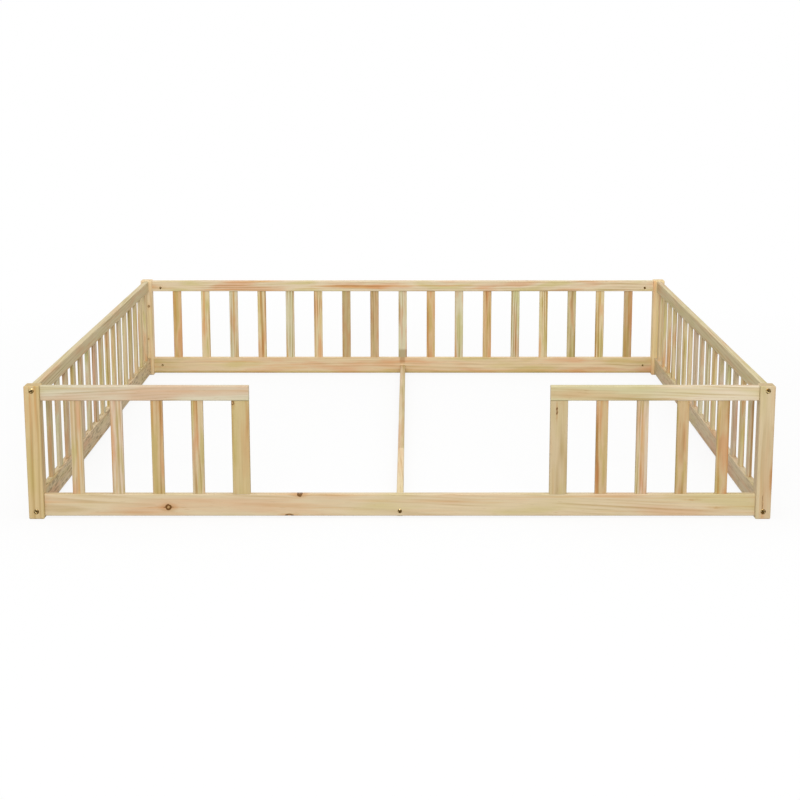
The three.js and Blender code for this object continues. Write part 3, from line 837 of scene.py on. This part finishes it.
def finish_and_shade_share(tree, given, own, share, drop):
    """Kept finish and painted shade: all in the recess, some at the rim, none elsewhere."""
    top = add(tree, MATH, {0: drop, 1: given["Head sunk"]}, operation="SUBTRACT")
    depth = add(tree, MATH, {0: top, 1: own["Z"]}, operation="SUBTRACT")
    in_recess = add(tree, RANGE, {"Value": depth, "From Max": DARK_FROM})
    rim = add(tree, RANGE, {"Value": share, "From Min": RIM_FROM, "From Max": 1.0,
                            "To Max": RIM_FINISH_AND_SHADE})
    kept_and_shaded = add(tree, MATH, {0: in_recess, 1: rim}, operation="MAXIMUM")
    in_head = add(tree, MATH, {0: depth, 1: given["Head thickness"]}, operation="LESS_THAN")
    return add(tree, MATH, {0: kept_and_shaded, 1: in_head}, operation="MULTIPLY")


def bolt_tree():
    """One bolt and its nut on each point, turned to the point's outward and nutward axes."""
    tree = bpy.data.node_groups.new("bolts", "GeometryNodeTree")
    sockets = tree.interface
    sockets.new_socket("Places", in_out="INPUT", socket_type="NodeSocketGeometry")
    for label in ("Head radius", "Head thickness", "Head sunk", "Dome", "Recess reach",
                  "Recess half width", "Recess depth", "Shank radius", "Shank length",
                  "Nut radius", "Nut length", "Nut from face", "Nut middle"):
        sockets.new_socket(label, in_out="INPUT", socket_type="NodeSocketFloat")
    sockets.new_socket("Metal", in_out="INPUT", socket_type="NodeSocketMaterial")
    sockets.new_socket("Bolts", in_out="OUTPUT", socket_type="NodeSocketGeometry")
    given = add(tree, "NodeGroupInput").outputs

    own, share, drop = crown_fields(tree, given)
    half = add(tree, MATH, {0: given["Head thickness"], 1: -0.5}, operation="MULTIPLY")
    down = add(tree, MATH, {0: half, 1: given["Head sunk"]}, operation="SUBTRACT")
    head = crowned_head(tree, given, own, drop, down)
    recessed = cross_recess(tree, given, head)
    body = add(tree, "GeometryNodeMeshBoolean",
               {"Mesh 2": [recessed, *shank_and_nut(tree, given, down)]},
               operation="UNION", solver="MANIFOLD")
    kept_and_shaded = finish_and_shade_share(tree, given, own, share, drop)
    finished = add(tree, "GeometryNodeStoreNamedAttribute",
                   {"Geometry": body, "Name": UNRUBBED_AND_SHADE, "Value": kept_and_shaded},
                   data_type="FLOAT", domain="POINT")

    outward = add(tree, "GeometryNodeInputNamedAttribute", {"Name": OUTWARD},
                  data_type="FLOAT_VECTOR")
    nutward = add(tree, "GeometryNodeInputNamedAttribute", {"Name": NUTWARD},
                  data_type="FLOAT_VECTOR")
    aim = add(tree, "FunctionNodeAxesToRotation",
              {"Primary Axis": outward, "Secondary Axis": nutward},
              primary_axis="Z", secondary_axis="X")
    placed = add(tree, "GeometryNodeInstanceOnPoints",
                 {"Points": given["Places"], "Instance": finished, "Rotation": aim})
    real = add(tree, "GeometryNodeRealizeInstances", {"Geometry": placed})
    metal = add(tree, "GeometryNodeSetMaterial", {"Geometry": real, "Material": given["Metal"]})
    add(tree, "NodeGroupOutput", {"Bolts": metal})
    return tree


BROWNED = "#6E5226"
RUBBED = "#E2CC94"
RECESS_FINISH_AND_SHADE = "#3F2A10"
SPOT_SPACING = 4.8 * MM
# Noise values between which the finish gives way to bare metal
RUBBED_FROM = 0.52
RUBBED_FULL = 0.60
# The recess has its full dark brown, kept finish and painted shade, once the share reaches this
BROWN_FULL = 0.4
BROWNED_ROUGHNESS = 0.24
RUBBED_ROUGHNESS = 0.16


def browned_brass():
    """Brass in a brown chemical finish rubbed pale in spots, darker in recess and rim with painted
    shade.
    """
    material, tree = new_material("browned_brass")
    coordinates = add(tree, "ShaderNodeTexCoord").outputs["Object"]
    spots = add(tree, NOISE, {"Vector": coordinates, "Scale": 1 / SPOT_SPACING, "Detail": 2.0})
    wear = add(tree, RANGE, {"Value": spots, "From Min": RUBBED_FROM, "From Max": RUBBED_FULL})
    worn = add(tree, MIX, {0: wear, 6: paint(BROWNED), 7: paint(RUBBED)},
               data_type="RGBA").outputs[2]
    # The share read here is kept brown finish and painted shade, in the recess and at the rim
    kept_and_shaded = add(tree, "ShaderNodeAttribute", attribute_name=UNRUBBED_AND_SHADE).outputs["Fac"]
    finish_and_shade = add(tree, RANGE, {"Value": kept_and_shaded, "From Max": BROWN_FULL})
    colour = add(tree, MIX, {0: finish_and_shade, 6: worn, 7: paint(RECESS_FINISH_AND_SHADE)},
                 data_type="RGBA").outputs[2]
    roughness = add(tree, RANGE, {"Value": spots, "From Min": NOISE_LOW, "From Max": NOISE_HIGH,
                                  "To Min": BROWNED_ROUGHNESS, "To Max": RUBBED_ROUGHNESS})
    surface = add(tree, "ShaderNodeBsdfPrincipled",
                  {"Base Color": colour, "Metallic": 1.0, "Roughness": roughness})
    add(tree, "ShaderNodeOutputMaterial", {"Surface": surface})
    return material


BOLTS = bolt_tree()
BOLT = {
    "Head radius": 7.5 * MM,
    "Head thickness": 2.6 * MM,
    "Head sunk": 0.4 * MM,
    "Dome": 0.9 * MM,
    "Recess reach": 5.2 * MM,
    "Recess half width": 2.0 * MM,
    "Recess depth": 2.3 * MM,
    "Shank radius": 3 * MM,
    "Nut radius": 5 * MM,
    "Nut length": 15 * MM,
    "Nut middle": 1.5 * MM,
    "Metal": browned_brass(),
}
SMALL_HEAD = {"Head radius": 6 * MM, "Recess reach": 4.2 * MM, "Recess half width": 1.4 * MM}
NUT_FROM_RAIL_END = 34.3 * MM
# The shank starts inside the head, 1.7 mm down, so it ends 2.7 mm past the nut's axis
SHANK_OVER_NUT = 1 * MM
SMOOTH_UNDER = math.radians(35)


def bolts(name, places, clamped, **changes):
    """places has for each node a point on the outer face, the outward axis and the nut's axis."""
    base = bpy.data.meshes.new(name)
    base.from_pydata([point for point, _, _ in places.values()], [], [])
    for label, item in ((OUTWARD, 1), (NUTWARD, 2)):
        axis = base.attributes.new(label, "FLOAT_VECTOR", "POINT")
        for i, place in enumerate(places.values()):
            axis.data[i].vector = place[item]
    settings = {**BOLT, **changes}
    settings["Nut from face"] = clamped + NUT_FROM_RAIL_END
    settings["Shank length"] = settings["Nut from face"] + SHANK_OVER_NUT
    piece = grow(name, base, BOLTS, settings)
    piece.data.shade_smooth()
    piece.data.set_sharp_from_angle(angle=SMOOTH_UNDER)
    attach(piece, BODY)
    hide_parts(*places)


def height_of(node):
    low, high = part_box(node)
    return (low.z + high.z) / 2


def post_bolts(end, side):
    """A post's four bolts: at top and bottom, one into the long rail and one into the side rail."""
    low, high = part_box(f"post_{end}_{side}")
    middle = (low + high) / 2
    face_x, out_x = (low.x, -1) if side == "left" else (high.x, 1)
    face_y, out_y = (low.y, -1) if end == "front" else (high.y, 1)
    places = {}
    for level in ("top", "bottom"):
        node = f"{end}_{side}_{level}_long_bolt"
        places[node] = ((face_x, middle.y, height_of(node)), (out_x, 0, 0), (0, -out_y, 0))
        node = f"{end}_{side}_{level}_side_bolt"
        places[node] = ((middle.x, face_y, height_of(node)), (0, out_y, 0), (-out_x, 0, 0))
    return places


def corner_bolts():
    places = {}
    for end in ("front", "back"):
        for side in ("left", "right"):
            places.update(post_bolts(end, side))
    low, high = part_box("post_front_left")
    bolts("corner_bolts", places, high.x - low.x)


def beam_bolts():
    """A bolt with a smaller head through each long bottom rail into the beam."""
    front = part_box("front_bottom_rail")
    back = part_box("back_bottom_rail")
    places = {
        "front_beam_bolt": ((0, front[0].y, height_of("front_beam_bolt")), (0, -1, 0), (-1, 0, 0)),
        "back_beam_bolt": ((0, back[1].y, height_of("back_beam_bolt")), (0, 1, 0), (-1, 0, 0)),
    }
    bolts("beam_bolts", places, front[1].y - front[0].y, **SMALL_HEAD)


corner_bolts()
beam_bolts()


# Floor, world, lamps and camera

FLOOR_SPAN = 40.0
FLOOR_BELOW = 0.3 * MM
FLOOR_WHITE = "#F6F6F6"
FLOOR_BOUNCE = "#A0A0A0"
# Up to the first distance the floor's glow leaves room for the bed's shadow, and from the
# second on the floor is plain white
FLOOR_GLOW = 0.86
SHADOW_REACH = 1.6
SHADOW_END = 3.2
WORLD_LIGHT = 0.70
WHITE = (1, 1, 1, 1)


def seen_directly(tree):
    """1 for rays that show the background: from the camera, off metal, or through glass."""
    rays = add(tree, "ShaderNodeLightPath").outputs
    mirrored = add(tree, MATH, {0: rays["Is Camera Ray"], 1: rays["Is Glossy Ray"]},
                   operation="MAXIMUM")
    return add(tree, MATH, {0: mirrored, 1: rays["Is Transmission Ray"]}, operation="MAXIMUM")


def white_floor():
    """A matt white floor that takes the bed's shadow. It glows for the camera, not on the bed."""
    material, tree = new_material("white_floor")
    place = add(tree, "ShaderNodeTexCoord").outputs["Object"]
    away = add(tree, VECTOR, {0: place}, operation="LENGTH").outputs["Value"]
    glow_share = add(tree, RANGE, {"Value": away, "From Min": SHADOW_REACH,
                                   "From Max": SHADOW_END, "To Min": FLOOR_GLOW, "To Max": 1.0})
    share = add(tree, MATH, {0: seen_directly(tree), 1: glow_share}, operation="MULTIPLY")
    camera_ray = add(tree, "ShaderNodeLightPath").outputs["Is Camera Ray"]
    colour = add(tree, MIX, {0: camera_ray, 6: paint(FLOOR_BOUNCE), 7: paint(FLOOR_WHITE)},
                 data_type="RGBA").outputs[2]
    matt = add(tree, "ShaderNodeBsdfDiffuse", {"Color": colour})
    glow = add(tree, "ShaderNodeEmission", {"Color": WHITE, "Strength": 1.0})
    both = add(tree, "ShaderNodeMixShader", {0: share, 1: matt, 2: glow})
    add(tree, "ShaderNodeOutputMaterial", {"Surface": both})
    mesh = bpy.data.meshes.new("floor")
    s = FLOOR_SPAN / 2
    corners = [(x, y, -FLOOR_BELOW) for x, y in ((-s, -s), (s, -s), (s, s), (-s, s))]
    mesh.from_pydata(corners, [], [(0, 1, 2, 3)])
    mesh.materials.append(material)
    floor = bpy.data.objects.new("floor", mesh)
    bpy.context.scene.collection.objects.link(floor)


def white_world():
    """Plain white light, which is full white only where it is seen directly."""
    world = bpy.data.worlds.new("studio")
    bpy.context.scene.world = world
    world.use_nodes = True
    tree = world.node_tree
    tree.nodes.clear()
    seen = seen_directly(tree)
    strength = add(tree, RANGE, {"Value": seen, "To Min": WORLD_LIGHT, "To Max": 1.0})
    sky = add(tree, "ShaderNodeBackground", {"Color": WHITE, "Strength": strength})
    add(tree, "ShaderNodeOutputWorld", {"Surface": sky})


def softbox(name, place, target, width, height, watts):
    lamp = bpy.data.lights.new(name, "AREA")
    lamp.shape = "RECTANGLE"
    lamp.size = width
    lamp.size_y = height
    lamp.energy = watts
    holder = bpy.data.objects.new(name, lamp)
    holder.location = place
    holder.rotation_euler = (Vector(target) - Vector(place)).to_track_quat("-Z", "Y").to_euler()
    bpy.context.scene.collection.objects.link(holder)


# Name, place, target, width, height and watts. As in the photo, most light is from the front.
LAMPS = (
    ("overhead", (0, -0.4, 4.0), (0, 0, 0), 4.0, 4.0, 30),
    ("front", (0, -9.0, 3.6), (0, 0, 0.2), 5.0, 3.0, 385),
    ("back", (0, 9.0, 3.6), (0, 0, 0.2), 5.0, 3.0, 75),
    ("left", (-9.0, 0, 3.6), (0, 0, 0.2), 5.0, 3.0, 40),
    ("right", (9.0, 0, 3.6), (0, 0, 0.2), 5.0, 3.0, 40),
)

# Place, dip, shift and focal length were fitted by least squares to edges seen in the photo
PHOTO_PIXELS = 800
FOCAL_PIXELS = 1578.9
SENSOR_MM = 36
CAMERA_PLACE = (0.028, -5.380, 1.356)
CAMERA_DIP = math.radians(10.64)
CAMERA_SHIFT = (-0.0119, -0.08)


def photo_camera():
    lens = bpy.data.cameras.new("camera")
    lens.sensor_width = SENSOR_MM
    lens.lens = FOCAL_PIXELS / PHOTO_PIXELS * SENSOR_MM
    lens.shift_x, lens.shift_y = CAMERA_SHIFT
    camera = bpy.data.objects.new("camera", lens)
    camera.location = CAMERA_PLACE
    camera.rotation_euler = (math.pi / 2 - CAMERA_DIP, 0, 0)
    bpy.context.scene.collection.objects.link(camera)
    bpy.context.scene.camera = camera


white_floor()
white_world()
for lamp in LAMPS:
    softbox(*lamp)
photo_camera()

bpy.context.scene.view_settings.view_transform = "Standard"
